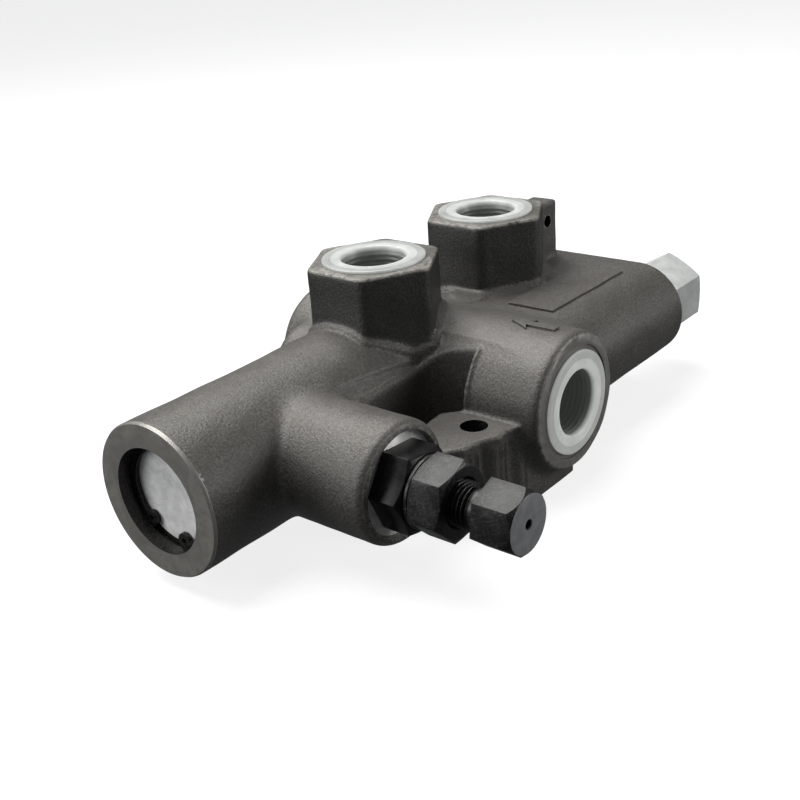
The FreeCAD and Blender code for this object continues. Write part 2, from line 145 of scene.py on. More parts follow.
def settle(piece):
    # bake the modifiers into the mesh
    bpy.context.view_layer.update()
    done = bpy.data.meshes.new_from_object(piece.evaluated_get(bpy.context.evaluated_depsgraph_get()))
    old = piece.data
    piece.modifiers.clear()
    piece.data = done
    done.name = piece.name
    bpy.data.meshes.remove(old)
    return piece


def combine(piece, other, operation):
    step = piece.modifiers.new(operation.lower(), "BOOLEAN")
    step.object = other
    step.operation = operation
    step.solver = "MANIFOLD"
    settle(piece)
    bpy.data.objects.remove(other)
    return piece


def softEdges(piece, width, segments=2, angle=28):
    bevel = piece.modifiers.new("edges", "BEVEL")
    bevel.width = width * mm
    bevel.segments = segments
    bevel.limit_method = "ANGLE"
    bevel.angle_limit = math.radians(angle)
    bevel.harden_normals = False
    return settle(piece)


def smoothShade(piece, angle=32):
    piece.data.shade_smooth()
    piece.data.set_sharp_from_angle(angle=math.radians(angle))


def finishPiece(piece, materials, body, node, angle=32):
    piece.data.materials.clear()
    for material in materials:
        piece.data.materials.append(material)
    smoothShade(piece, angle)
    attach(piece, body)
    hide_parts(node)
    return piece


# shader helpers
def addNode(tree, kind, feeds=None, **settings):
    node = tree.nodes.new(kind)
    for name, value in settings.items():
        setattr(node, name, value)
    for name, value in (feeds or {}).items():
        if isinstance(value, bpy.types.NodeSocket):
            tree.links.new(value, node.inputs[name])
        else:
            node.inputs[name].default_value = value
    return node


def mathNode(tree, operation, first, second=0.5, clamp=False):
    return addNode(tree, "ShaderNodeMath", {0: first, 1: second}, operation=operation, use_clamp=clamp).outputs[0]


def times(tree, first, second, clamp=False):
    return mathNode(tree, "MULTIPLY", first, second, clamp)


def mapRange(tree, value, low, high, newLow=0.0, newHigh=1.0):
    feeds = {"Value": value, "From Min": low, "From Max": high, "To Min": newLow, "To Max": newHigh}
    return addNode(tree, "ShaderNodeMapRange", feeds).outputs["Result"]


def mixColour(tree, mask, first, second):
    node = addNode(tree, "ShaderNodeMix", data_type="RGBA", clamp_factor=True)
    for index, value in ((0, mask), (6, first), (7, second)):
        if isinstance(value, bpy.types.NodeSocket):
            tree.links.new(value, node.inputs[index])
        else:
            node.inputs[index].default_value = value if index == 0 else (*value, 1)
    return node.outputs[2]


def startGroup(name, inputs, outputs):
    group = bpy.data.node_groups.new(name, "ShaderNodeTree")
    for socket, value in inputs.items():
        made = group.interface.new_socket(name=socket, in_out="INPUT", socket_type="NodeSocketFloat")
        made.default_value = value
    for socket in outputs:
        group.interface.new_socket(name=socket, in_out="OUTPUT", socket_type="NodeSocketFloat")
    return group, group.nodes.new("NodeGroupInput").outputs, group.nodes.new("NodeGroupOutput").inputs


def useGroup(tree, group, **values):
    node = tree.nodes.new("ShaderNodeGroup")
    node.node_tree = group
    for name, value in values.items():
        node.inputs[name].default_value = value
    return node.outputs


def placeInMm(group):
    place = addNode(group, "ShaderNodeTexCoord").outputs["Object"]
    return addNode(group, "ShaderNodeVectorMath", {0: place, 1: (1000, 1000, 1000)}, operation="MULTIPLY").outputs[0]


def makeSandGrain():
    # sand-mould skin: fine grains, larger pimples and shallow dents, sizes in mm
    group, given, out = startGroup("sandGrain", {"grainSize": 0.6, "dentSize": 9.0}, ["grain", "patches", "pits"])
    inMm = placeInMm(group)
    fineScale = mathNode(group, "DIVIDE", 1.0, given["grainSize"])
    wideScale = mathNode(group, "DIVIDE", 1.0, given["dentSize"])
    pimpleScale = times(group, fineScale, 0.8)
    pitScale = times(group, fineScale, 0.23)
    fine = addNode(group, "ShaderNodeTexNoise",
                   {"Vector": inMm, "Scale": fineScale, "Detail": 5.0, "Roughness": 0.62})
    grains = addNode(group, "ShaderNodeTexVoronoi", {"Vector": inMm, "Scale": pimpleScale}, feature="SMOOTH_F1")
    wide = addNode(group, "ShaderNodeTexNoise",
                   {"Vector": inMm, "Scale": wideScale, "Detail": 4.0, "Roughness": 0.55})
    pits = addNode(group, "ShaderNodeTexVoronoi", {"Vector": inMm, "Scale": pitScale})
    grain = mathNode(group, "ADD", times(group, fine.outputs["Fac"], 0.7),
                     times(group, grains.outputs["Distance"], -0.45))
    group.links.new(grain, out["grain"])
    group.links.new(wide.outputs["Fac"], out["patches"])
    group.links.new(mapRange(group, pits.outputs["Distance"], 0.0, 0.22, 1.0, 0.0), out["pits"])
    return group


def makeEdgeWear():
    # bright on corners that hands and tools rub, broken up by noise
    group, given, out = startGroup("edgeWear", {"start": 0.52, "full": 0.6, "breakSize": 1.6}, ["wear"])
    inMm = placeInMm(group)
    point = addNode(group, "ShaderNodeNewGeometry").outputs["Pointiness"]
    edge = mapRange(group, point, given["start"], given["full"])
    noise = addNode(group, "ShaderNodeTexNoise",
                    {"Vector": inMm, "Scale": mathNode(group, "DIVIDE", 1.0, given["breakSize"]), "Detail": 4.0})
    broken = mapRange(group, noise.outputs["Fac"], 0.38, 0.62)
    group.links.new(times(group, edge, broken, clamp=True), out["wear"])
    return group


def makeTopDust():
    # pale dust and handling film that settles on faces that look up
    group, given, out = startGroup("topDust", {"spread": 0.35, "clumpSize": 1.2}, ["dust"])
    inMm = placeInMm(group)
    normal = addNode(group, "ShaderNodeNewGeometry").outputs["Normal"]
    up = addNode(group, "ShaderNodeSeparateXYZ", {0: normal}).outputs["Z"]
    facing = mapRange(group, up, given["spread"], 1.0)
    noise = addNode(group, "ShaderNodeTexNoise",
                    {"Vector": inMm, "Scale": mathNode(group, "DIVIDE", 1.0, given["clumpSize"]), "Detail": 6.0,
                     "Roughness": 0.7})
    clump = mapRange(group, noise.outputs["Fac"], 0.35, 0.72)
    group.links.new(times(group, facing, clump, clamp=True), out["dust"])
    return group


def makeScratches():
    # two crossing families of hairline scratches, spacing in mm
    group, given, out = startGroup("scratches", {"spacing": 1.2, "stretch": 0.04}, ["lines"])
    inMm = placeInMm(group)
    scale = mathNode(group, "DIVIDE", 1.0, given["spacing"])
    families = []
    for tilt in (0.5, 2.1):
        turned = addNode(group, "ShaderNodeVectorRotate", {"Vector": inMm, "Angle": tilt, "Axis": (1, 0.3, 0.2)})
        thin = addNode(group, "ShaderNodeCombineXYZ", {"X": 1.0, "Y": 1.0, "Z": given["stretch"]})
        pulled = addNode(group, "ShaderNodeVectorMath", {0: turned.outputs[0], 1: thin.outputs[0]},
                         operation="MULTIPLY")
        noise = addNode(group, "ShaderNodeTexNoise", {"Vector": pulled.outputs[0], "Scale": scale, "Detail": 2.0})
        line = mathNode(group, "ABSOLUTE", mathNode(group, "SUBTRACT", noise.outputs["Fac"], 0.5))
        families.append(mapRange(group, line, 0.0, 0.018, 1.0, 0.0))
    group.links.new(mathNode(group, "MAXIMUM", families[0], families[1]), out["lines"])
    return group


sandGrain = makeSandGrain()
edgeWear = makeEdgeWear()
topDust = makeTopDust()
scratches = makeScratches()


def startMaterial(name, **sockets):
    material = bpy.data.materials.new(name)
    material.use_nodes = True
    tree = material.node_tree
    shader = tree.nodes["Principled BSDF"]
    for socket, value in sockets.items():
        shader.inputs[socket.replace("_", " ")].default_value = value
    return material, tree, shader


def bumpInto(tree, shader, height, distance, strength=1.0):
    bump = addNode(tree, "ShaderNodeBump", {"Height": height, "Distance": distance * mm, "Strength": strength})
    tree.links.new(bump.outputs[0], shader.inputs["Normal"])


def paint(tree, shader, colour):
    tree.links.new(colour, shader.inputs["Base Color"])


def patchyRoughness(tree, shader, patches, low, high, end=0.7):
    tree.links.new(mapRange(tree, patches, 0.3, end, low, high), shader.inputs["Roughness"])


def rimWear(tree, size):
    # bright broken line along sawn corners
    rim = addNode(tree, "ShaderNodeAttribute", attribute_name="rim").outputs["Fac"]
    grain = useGroup(tree, sandGrain, grainSize=size, dentSize=2.2)
    broken = mapRange(tree, grain["patches"], 0.36, 0.6)
    return times(tree, mapRange(tree, rim, 0.25, 0.85), broken, clamp=True)


def castSkin(name, dark, light, dusting, rough):
    look = {"worn": (0.46, 0.435, 0.39), "dust": (0.26, 0.24, 0.21)}
    material, tree, shader = startMaterial(name, Metallic=0.3)
    grain = useGroup(tree, sandGrain, grainSize=0.55, dentSize=11.0)
    wear = useGroup(tree, edgeWear, start=0.53, full=0.60, breakSize=1.1)
    dust = useGroup(tree, topDust, spread=0.1, clumpSize=0.7)
    base = mixColour(tree, mapRange(tree, grain["patches"], 0.3, 0.7), dark, light)
    speck = mixColour(tree, mapRange(tree, grain["grain"], 0.08, 0.26), tuple(c * 0.72 for c in dark), base)
    dusty = mixColour(tree, times(tree, dust["dust"], dusting), speck, look["dust"])
    rubbed = mathNode(tree, "MAXIMUM", times(tree, wear["wear"], 0.5), rimWear(tree, 0.5))
    worn = mixColour(tree, times(tree, rubbed, 0.8), dusty, look["worn"])
    paint(tree, shader, worn)
    patchyRoughness(tree, shader, grain["patches"], rough, rough + 0.14, 0.75)
    height = mathNode(tree, "SUBTRACT", grain["grain"], times(tree, grain["pits"], 0.25))
    bumpInto(tree, shader, height, 0.2)
    return material


def castMachined():
    # end faces and port seats: cut metal gone dull under the same dark oil
    look = {"dark": (0.215, 0.207, 0.190), "light": (0.280, 0.270, 0.248)}
    material, tree, shader = startMaterial("castMachined", Metallic=0.5)
    grain = useGroup(tree, sandGrain, grainSize=0.35, dentSize=5.0)
    line = useGroup(tree, scratches, spacing=0.9, stretch=0.05)
    base = mixColour(tree, mapRange(tree, grain["patches"], 0.3, 0.7), look["dark"], look["light"])
    scored = mixColour(tree, times(tree, line["lines"], 0.25), base, (0.26, 0.25, 0.23))
    worn = mixColour(tree, times(tree, rimWear(tree, 0.6), 0.75), scored, (0.45, 0.43, 0.39))
    paint(tree, shader, worn)
    tree.links.new(mapRange(tree, grain["grain"], 0.1, 0.5, 0.36, 0.52), shader.inputs["Roughness"])
    bumpInto(tree, shader, grain["grain"], 0.06)
    return material


def spotFaceMetal():
    # fresh-cut rings where a sealing face was turned after coating
    material, tree, shader = startMaterial("spotFaceMetal", Metallic=0.75)
    place = addNode(tree, "ShaderNodeTexCoord").outputs["Object"]
    moved = addNode(tree, "ShaderNodeVectorMath", {0: place, 1: (0.04225, 0.0, -0.03)}, operation="ADD").outputs[0]
    flat = addNode(tree, "ShaderNodeVectorMath", {0: moved, 1: (1000, 0, 1000)}, operation="MULTIPLY").outputs[0]
    rings = addNode(tree, "ShaderNodeTexWave", {"Vector": flat, "Scale": 1.6, "Distortion": 0.6, "Detail": 3.0},
                    wave_type="RINGS", rings_direction="SPHERICAL")
    grain = useGroup(tree, sandGrain, grainSize=0.4, dentSize=4.0)
    base = mixColour(tree, rings.outputs["Fac"], (0.70, 0.695, 0.68), (0.88, 0.87, 0.85))
    stained = mapRange(tree, grain["patches"], 0.35, 0.75, 0.0, 0.5)
    paint(tree, shader, mixColour(tree, stained, base, (0.13, 0.12, 0.11)))
    tree.links.new(mapRange(tree, rings.outputs["Fac"], 0.0, 1.0, 0.32, 0.44), shader.inputs["Roughness"])
    bumpInto(tree, shader, rings.outputs["Fac"], 0.03)
    return material


# painted shade: bore insides are coloured near black for the shade inside the holes
def boreShadeMetal():
    material, tree, shader = startMaterial("boreShadeMetal", Metallic=0.6)
    grain = useGroup(tree, sandGrain, grainSize=0.5, dentSize=6.0)
    line = useGroup(tree, scratches, spacing=0.6, stretch=0.03)
    base = mixColour(tree, grain["patches"], (0.012, 0.0118, 0.0115), (0.032, 0.031, 0.029))
    paint(tree, shader, mixColour(tree, times(tree, line["lines"], 0.3), base, (0.2, 0.19, 0.18)))
    tree.links.new(mapRange(tree, grain["grain"], 0.1, 0.5, 0.22, 0.34), shader.inputs["Roughness"])
    bumpInto(tree, shader, line["lines"], 0.02)
    return material


def zincCoat(name, shade, lineAmount, clumpSize, roughness, metal):
    # dull zinc plating with handling marks
    material, tree, shader = startMaterial(name, Metallic=metal)
    grain = useGroup(tree, sandGrain, grainSize=0.7, dentSize=clumpSize)
    line = useGroup(tree, scratches, spacing=1.3, stretch=0.035)
    wear = useGroup(tree, edgeWear, start=0.55, full=0.7, breakSize=1.2)
    base = mixColour(tree, mapRange(tree, grain["patches"], 0.32, 0.68), tuple(c * 0.78 for c in shade), shade)
    scratched = times(tree, line["lines"], lineAmount)
    scored = mixColour(tree, scratched, base, tuple(c * 0.5 for c in shade))
    bright = mixColour(tree, times(tree, wear["wear"], 0.6), scored, (0.9, 0.9, 0.9))
    paint(tree, shader, bright)
    patchyRoughness(tree, shader, grain["patches"], roughness, roughness + 0.16)
    height = mathNode(tree, "SUBTRACT", times(tree, grain["grain"], 0.5),
                      times(tree, line["lines"], lineAmount))
    bumpInto(tree, shader, height, 0.05)
    return material


def blackOxide(name, dusting, roughness, grainHeight, deep, film, wearing, sheen):
    look = {"worn": (0.26, 0.25, 0.23), "dust": (0.115, 0.108, 0.095)}
    material, tree, shader = startMaterial(name, Metallic=0.2, Specular_IOR_Level=sheen)
    grain = useGroup(tree, sandGrain, grainSize=0.5, dentSize=4.0)
    wear = useGroup(tree, edgeWear, start=0.55, full=0.68, breakSize=0.7)
    dust = useGroup(tree, topDust, spread=0.35, clumpSize=0.45)
    line = useGroup(tree, scratches, spacing=1.6, stretch=0.06)
    base = mixColour(tree, mapRange(tree, grain["patches"], 0.3, 0.7), deep, film)
    scored = mixColour(tree, times(tree, line["lines"], 0.14 * wearing), base, look["worn"])
    dusty = mixColour(tree, times(tree, dust["dust"], dusting), scored, look["dust"])
    worn = mixColour(tree, times(tree, wear["wear"], wearing), dusty, look["worn"])
    paint(tree, shader, worn)
    patchyRoughness(tree, shader, grain["patches"], roughness, roughness + 0.12)
    bumpInto(tree, shader, grain["grain"], grainHeight)
    return material


def burnishedBlack():
    # the faced end of the screw, smooth and a little lighter
    material, tree, shader = startMaterial("burnishedBlack", Metallic=0.5)
    grain = useGroup(tree, sandGrain, grainSize=0.3, dentSize=3.0)
    line = useGroup(tree, scratches, spacing=0.8, stretch=0.05)
    base = mixColour(tree, mapRange(tree, grain["patches"], 0.3, 0.7), (0.28, 0.28, 0.285), (0.38, 0.38, 0.385))
    paint(tree, shader, mixColour(tree, times(tree, line["lines"], 0.15), base, (0.22, 0.22, 0.22)))
    patchyRoughness(tree, shader, grain["patches"], 0.38, 0.48)
    bumpInto(tree, shader, grain["grain"], 0.02)
    return material


def milkyPlastic():
    material, tree, shader = startMaterial("milkyPlastic", Subsurface_Weight=0.6, Subsurface_Scale=0.008, IOR=1.5,
                                           Subsurface_Radius=(1.0, 1.0, 0.95))
    grain = useGroup(tree, sandGrain, grainSize=1.4, dentSize=7.0)
    line = useGroup(tree, scratches, spacing=2.5, stretch=0.06)
    deep = addNode(tree, "ShaderNodeAttribute", attribute_name="wallDepth").outputs["Fac"]
    base = mixColour(tree, mapRange(tree, grain["patches"], 0.3, 0.7), (0.25, 0.257, 0.245), (0.31, 0.318, 0.302))
    # painted shade: the plastic inside the mouth ring, the inner lip and the hollow, is made darker
    ring = addNode(tree, "ShaderNodeAttribute", attribute_name="mouthRing").outputs["Fac"]
    base = mixColour(tree, ring, mixColour(tree, 0.3, base, (0.02, 0.02, 0.02)), base)
    scored = mixColour(tree, times(tree, line["lines"], 0.15), base, (0.24, 0.247, 0.24))
    # painted shade: darker with depth, for the dark thread showing through the thin wall and the shaded hollow
    depthShaded = mixColour(tree, times(tree, deep, 0.75), scored, (0.05, 0.056, 0.05))
    paint(tree, shader, depthShaded)
    # painted glow: an emission in the plastic's own colour, fading with depth, stands in for light passing through
    # the milky wall
    paintedGlow = mixColour(tree, times(tree, deep, 3.5, clamp=True), scored, (0.016, 0.017, 0.016))
    tree.links.new(paintedGlow, shader.inputs["Emission Color"])
    shader.inputs["Emission Strength"].default_value = 1.15
    patchyRoughness(tree, shader, grain["patches"], 0.3, 0.42)
    bumpInto(tree, shader, grain["grain"], 0.03)
    return material


def groundSteel(name, shade, roughness):
    material, tree, shader = startMaterial(name, Metallic=0.95)
    grain = useGroup(tree, sandGrain, grainSize=0.4, dentSize=5.0)
    line = useGroup(tree, scratches, spacing=0.5, stretch=0.03)
    base = mixColour(tree, grain["patches"], tuple(c * 0.85 for c in shade), shade)
    scored = mixColour(tree, times(tree, line["lines"], 0.3), base, tuple(c * 0.6 for c in shade))
    paint(tree, shader, scored)
    patchyRoughness(tree, shader, grain["patches"], roughness, roughness + 0.1)
    bumpInto(tree, shader, line["lines"], 0.01)
    return material


def nitrileRubber():
    material, tree, shader = startMaterial("nitrileRubber")
    grain = useGroup(tree, sandGrain, grainSize=0.3, dentSize=3.0)
    paint(tree, shader, mixColour(tree, grain["patches"], (0.012, 0.012, 0.012), (0.028, 0.028, 0.027)))
    patchyRoughness(tree, shader, grain["patches"], 0.5, 0.66)
    bumpInto(tree, shader, grain["grain"], 0.02)
    return material


castSkinLook = castSkin("castSkin", (0.089, 0.085, 0.077), (0.128, 0.122, 0.109), 0.25, 0.42)
# painted shade: a darker copy of the cast skin for the hexagon walls, standing in for their dark reflections
castHexShadeLook = castSkin("castHexShade", (0.042, 0.0415, 0.0385), (0.060, 0.059, 0.054), 0.08, 0.36)
castMachinedLook = castMachined()
spotFaceLook = spotFaceMetal()
boreShadeLook = boreShadeMetal()
capZinc = zincCoat("capZinc", (0.66, 0.67, 0.655), 0.2, 6.0, 0.42, 0.3)
discZinc = zincCoat("discZinc", (0.97, 0.975, 0.96), 0.3, 3.5, 0.42, 0.05)
blackLook = blackOxide("blackOxide", 0.3, 0.3, 0.05, (0.006, 0.0062, 0.0065), (0.014, 0.014, 0.014), 1.0, 0.36)
# painted shade: a darker black oxide without dust and with little wear, for the cartridge in the relief recess and
# the screw thread
shadedBlackLook = blackOxide("shadedBlack", 0.0, 0.3, 0.02, (0.0045, 0.0047, 0.005), (0.010, 0.010, 0.0103), 0.2, 0.16)
ringBlackLook = blackOxide("ringBlack", 0.0, 0.16, 0.006, (0.004, 0.0041, 0.0042), (0.008, 0.008, 0.008), 0.1, 0.3)
screwFaceLook = burnishedBlack()
plasticLook = milkyPlastic()
print("materials ready")


# the casting: a rough shape with blended fillets, then machined like the real one
castSizes = {
    "voxel": 0.75, "axisZ": 30.0, "barrelRadius": 25.0, "noseX": -89.25, "barrelEnd": 28.75,
    "blockHalf": 18.75, "blockStart": 22.0, "blockEnd": 121.75, "secondY": -43.8,
    "sideX": 32.0, "bossRadius": 24.0, "sideFace": -69.0, "backFace": 44.0,
    "reliefX": -42.25, "reliefRadius": 19.5, "reliefFace": -56.0, "hexFlats": 42.0, "hexTop": 74.7,
    "portsX": (15.25, 81.15), "holeY": 50.5, "holeRadius": 4.6, "padTop": 30.0, "backPadTop": 26.0,
    "stock": 3.0, "waviness": 0.10, "patchTop": 49.9, "raised": 0.8, "pocketFloor": 14.0, "backBossX": 10.75,
    "backBossRadius": 17.0, "backBossFace": 36.0, "lugHoleX": 107.5, "lugHoleZ": 65.0, "lugHoleRadius": 2.3,
}
# outlines seen from above
frontPadOutline = [(-21, -44), (-12, -37.5), (-4, -35.3), (2.8, -34.7), (8.9, -40.5), (9.3, -63.8), (3, -61.5),
                   (-2, -62), (-8, -58.5), (-15, -57.3), (-21, -52)]
pocketOutline = [(-20.5, -41), (-20.5, -23.8), (5, -23.7), (8, -24.4), (10.4, -25.6), (12.7, -28.2), (14, -31.5),
                 (14.8, -35), (15.8, -41)]
patchOutline = [(47, -12.6), (58.6, -16), (63, -10), (64, -0.5), (54.6, -0.4)]
backPadOutline = [(-16, 20), (-14, 54), (-8, 60), (8, 60), (14, 54), (16, 20)]
arrowOutline = [(32, -44.6), (28.2, -52.4), (30.4, -51.2), (30.4, -62), (33.6, -62), (33.6, -51.2), (35.8, -52.4)]
panelOutline = [(57.6, -44.3), (107.6, -44.3), (107.6, -25.5), (57.6, -25.5)]


def softMin(first, second, blend):
    # joins two distance fields with a fillet about blend wide
    overlap = np.maximum(blend - np.abs(first - second), 0) / blend
    return np.minimum(first, second) - overlap * overlap * blend * 0.25


def softMax(first, second, blend):
    return -softMin(-first, -second, blend)


def fieldRod(across, up, along, radius, low, high, rounding):
    # a round bar: distance to its side and to its ends, with rounded rims
    side = np.hypot(across, up) - radius + rounding
    end = np.abs(along - (low + high) / 2) - (high - low) / 2 + rounding
    outside = np.hypot(np.maximum(side, 0), np.maximum(end, 0))
    return np.minimum(np.maximum(side, end), 0) + outside - rounding


def fieldBox(x, y, z, low, high, rounding):
    gaps = [np.abs(v - (a + b) / 2) - (b - a) / 2 + rounding for v, a, b in zip((x, y, z), low, high)]
    outside = np.sqrt(sum(np.maximum(g, 0) ** 2 for g in gaps))
    return np.minimum(np.maximum(np.maximum(gaps[0], gaps[1]), gaps[2]), 0) + outside - rounding


def fieldHex(x, y, z, low, high, cornerRound, rimRound):
    half = castSizes["hexFlats"] / 2
    slant = math.sqrt(3) / 2
    side = np.abs(x) - half
    for lean in (slant, -slant):
        side = softMax(side, np.abs(0.5 * x + lean * y) - half, cornerRound)
    return softMax(side, np.abs(z - (low + high) / 2) - (high - low) / 2, rimRound)


def fieldOutline(x, y, z, outline, low, high, rounding):
    # signed distance to a flat outline, carried up from low to high
    nearest = np.full(np.broadcast(x, y).shape, 1e9, np.float32)
    inside = np.zeros(nearest.shape, bool)
    for (ax, ay), (bx, by) in zip(outline, outline[1:] + outline[:1]):
        run = np.clip(((x - ax) * (bx - ax) + (y - ay) * (by - ay)) / ((bx - ax) ** 2 + (by - ay) ** 2), 0, 1)
        nearest = np.minimum(nearest, np.hypot(x - ax - run * (bx - ax), y - ay - run * (by - ay)))
        if ay != by:
            inside ^= ((ay > y) != (by > y)) & (x < (bx - ax) * (y - ay) / (by - ay) + ax)
    side = np.where(inside, -nearest, nearest) + rounding
    end = np.abs(z - (low + high) / 2) - (high - low) / 2 + rounding
    outside = np.hypot(np.maximum(side, 0), np.maximum(end, 0))
    return np.minimum(np.maximum(side, end), 0) + outside - rounding


def roughCasting():
    s = castSizes
    step, stock = s["voxel"], s["stock"]
    low = np.array((s["noseX"] - 6, s["sideFace"] - 6, -6))
    high = np.array((s["blockEnd"] + 6, 66, s["hexTop"] + 6))
    counts = np.ceil((high - low) / step).astype(int)
    x, y, z = np.meshgrid(*(a + np.arange(n) * step for a, n in zip(low, counts)), indexing="ij", sparse=True)
    x, y, z = (v.astype(np.float32) for v in (x, y, z))
    up = z - s["axisZ"]

    barrel = fieldRod(y, up, x, s["barrelRadius"], s["noseX"] - stock, s["barrelEnd"], 0.8)
    # a thin saddle of extra metal around the near hexagon, with a line where the mould split
    taper = np.clip((x + 46) / 40, 0, 1)
    taper = taper * taper * (3 - 2 * taper)
    saddle = fieldRod(y, up, x, s["barrelRadius"] + 0.02, -52, s["barrelEnd"] + 0.4, 0.5) - 0.75 * taper
    saddle = softMax(saddle, -18.9 - 0.08 * (x + 24) - y, 0.35)
    body = np.minimum(barrel, saddle)

    inBlock = np.hypot(np.maximum(np.maximum(s["secondY"] - y, y), 0), up) - s["blockHalf"]
    span = np.abs(x - (s["blockStart"] + s["blockEnd"] + stock) / 2) - (s["blockEnd"] + stock - s["blockStart"]) / 2
    body = softMin(body, np.maximum(inBlock, span), 2.4)

    sideBoss = fieldRod(x - s["sideX"], up, y, s["bossRadius"], s["sideFace"] - 0.5, 0, 3.2)
    backBoss = fieldRod(x - s["sideX"], up, y, s["bossRadius"], 0, s["backFace"] + 0.5, 3.2)
    body = softMin(body, sideBoss, 6.0)
    body = softMin(body, backBoss, 4.0)
    body = softMin(body, fieldRod(x - s["backBossX"], up, y, s["backBossRadius"], 0, s["backBossFace"], 5.0), 4.0)
    relief = fieldRod(x - s["reliefX"], up, y, s["reliefRadius"], s["reliefFace"] - 0.4, 0, 3.4)
    body = softMin(body, relief, 2.7)

    foot = fieldBox(x, y, z, (-20, -25, -stock), (40, 25, 30), 1.5)
    underPort = fieldBox(x, y, z, (9, -63.8, -stock), (40, 0, 24), 2.0)
    body = softMin(softMin(body, foot, 3.0), underPort, 4.0)
    body = softMin(body, fieldBox(x, y, z, (-20, -50, -stock), (9, -20, 14), 2.0), 3.0)

    # the pocket behind the front pad, with a thin cast lip around it
    pocket = fieldOutline(x, y, z, pocketOutline, s["pocketFloor"], 90, 1.2)
    lip = softMax(np.abs(pocket - 0.3) - 1.3, body - 0.85, 0.9)
    body = softMax(softMin(body, lip, 0.7), -pocket, 0.5)
    ribbing = 0.45 * np.sin(1.7 * x + 1.5 * np.sin(0.6 * x)) * np.clip((28 - z) / 3, 0, 1)
    frontPad = fieldOutline(x, y, z, frontPadOutline, -stock, s["padTop"], 1.0) + ribbing
    backPad = fieldOutline(x, y, z, backPadOutline, -stock, s["backPadTop"], 1.6)
    body = softMin(softMin(body, frontPad, 1.6), backPad, 3.0)

    for at in s["portsX"]:
        hexBoss = fieldHex(x - at, y, z, s["axisZ"], s["hexTop"] + 0.4, 2.2, 1.7)
        collar = softMax(body - 1.3, hexBoss - 1.7, 0.5)
        body = softMin(softMin(body, collar, 0.7), hexBoss, 1.6)
    body = softMin(body, fieldOutline(x, y, z, patchOutline, 40, s["patchTop"], 0.7), 0.8)
    lug = fieldBox(x, y, z, (99, -11, 45), (114.25, 0, 72.5), 1.2)
    body = softMin(body, lug, 3.0)

    waves = np.sin(x / 3.1 + 2 * np.sin(y / 5.3)) * np.sin(y / 2.7 + np.sin(z / 4.1)) + np.sin(z / 2.3 + x / 4.7)
    body = body + waves * s["waviness"] * 0.5

    grid = openvdb.FloatGrid(3 * step)
    grid.copyFromArray(body.astype(np.float32))
    points, quads = grid.convertToQuads(0.0)
    points = (points * step + low) * mm
    mesh = bpy.data.meshes.new("castBody")
    mesh.vertices.add(len(points))
    mesh.vertices.foreach_set("co", points.astype(np.float32).ravel())
    mesh.loops.add(quads.size)
    mesh.polygons.add(len(quads))
    mesh.loops.foreach_set("vertex_index", quads.astype(np.int32).ravel())
    mesh.polygons.foreach_set("loop_start", np.arange(0, quads.size, 4, dtype=np.int32))
    mesh.update()
    piece = bpy.data.objects.new("castBody", mesh)
    bpy.context.scene.collection.objects.link(piece)
    clean = bmesh.new()
    clean.from_mesh(mesh)
    bmesh.ops.recalc_face_normals(clean, faces=clean.faces)
    clean.to_mesh(mesh)
    clean.free()
    return piece


